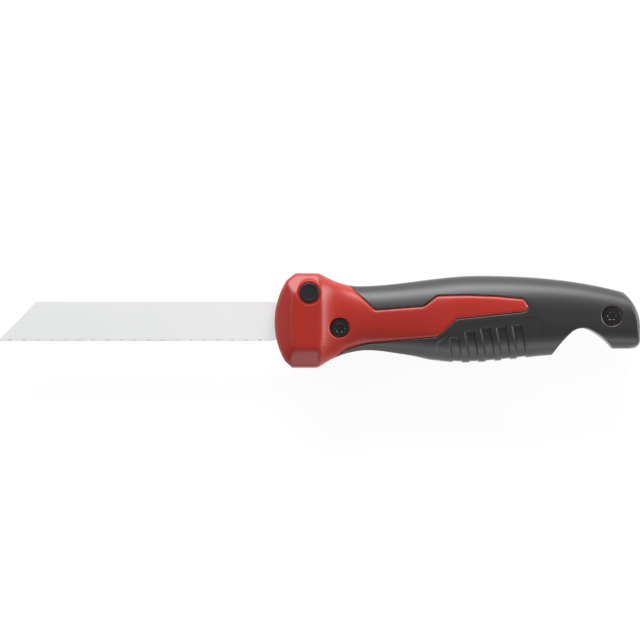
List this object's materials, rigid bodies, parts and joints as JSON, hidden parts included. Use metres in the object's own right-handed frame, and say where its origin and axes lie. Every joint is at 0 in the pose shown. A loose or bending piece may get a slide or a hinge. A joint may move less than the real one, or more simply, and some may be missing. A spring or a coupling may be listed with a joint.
{
  "type": "folding drywall saw",
  "caption": "Folding hand saw: a narrow toothed blade clamped in a pivoting holder with a cross-bolt lock, in a split handle with a rubber grip and a finger notch.",
  "frame": {"origin": "bottom centre of the saw's box as it lies on its right side with the blade open", "axes": "+X from the blade's tip to the handle's tail, +Y from the teeth to the blade's back, +Z out of the left side, up"},
  "size_m": [0.3048, 0.0451, 0.032],
  "materials": {
    "red_plastic": "satin moulded plastic",
    "black_rubber": "fine matt moulded rubber",
    "blade_enamel": "pale satin coating with bare ground teeth",
    "steel": "turned and milled steel",
    "black_steel": "black oxide",
    "black_plastic": "satin moulded plastic",
    "brass": "turned brass",
    "bronze": "sintered bronze",
    "white_nylon": "punched sheet"
  },
  "bodies": {
    "handle": {"left_shell": "red_plastic", "right_shell": "red_plastic", "left_grip": "black_rubber", "right_grip": "black_rubber", "pivot_barrel": "steel", "pivot_screw": "black_steel", "thrust_washer": "white_nylon", "wave_washer": "steel", "stop_pin": "steel", "tail_screw": "black_steel", "tail_insert": "brass", "locating_pins": "steel"},
    "blade_holder": {"blade_carrier": "steel", "pivot_bush": "bronze", "tang_pin": "steel", "blade": "blade_enamel"},
    "blade_clamp": {"clamp_plate": "steel"},
    "clamp_fastener": {"clamp_screw": "black_steel", "screw_clip": "steel"},
    "lock": {"lock_bolt": "steel", "left_button": "black_plastic", "right_button": "black_plastic", "bolt_rings": "black_rubber"}
  },
  "joints": [
    {"name": "blade_fold", "type": "hinge", "parent": "handle", "child": "blade_holder", "pos_m": [0.0094, -0.003, 0.016], "axis": [0, 0, 1], "range_deg": [0, 177.5]},
    {"name": "clamp_lift", "type": "slide", "parent": "blade_holder", "child": "blade_clamp", "axis": [0, 0, 1], "range_m": [0, 0.0016]},
    {"name": "clamp_turn", "type": "hinge", "parent": "blade_clamp", "child": "clamp_fastener", "pos_m": [-0.0104, -0.0103, 0.016], "axis": [0, 0, 1], "range_deg": [0, 720]},
    {"name": "lock_slide", "type": "slide", "parent": "handle", "child": "lock", "axis": [0, 0, -1], "range_m": [0, 0.0039]}
  ],
  "couplings": [
    {"joint": "clamp_turn", "follows": "clamp_lift", "rad_per_m": 7854}
  ]
}
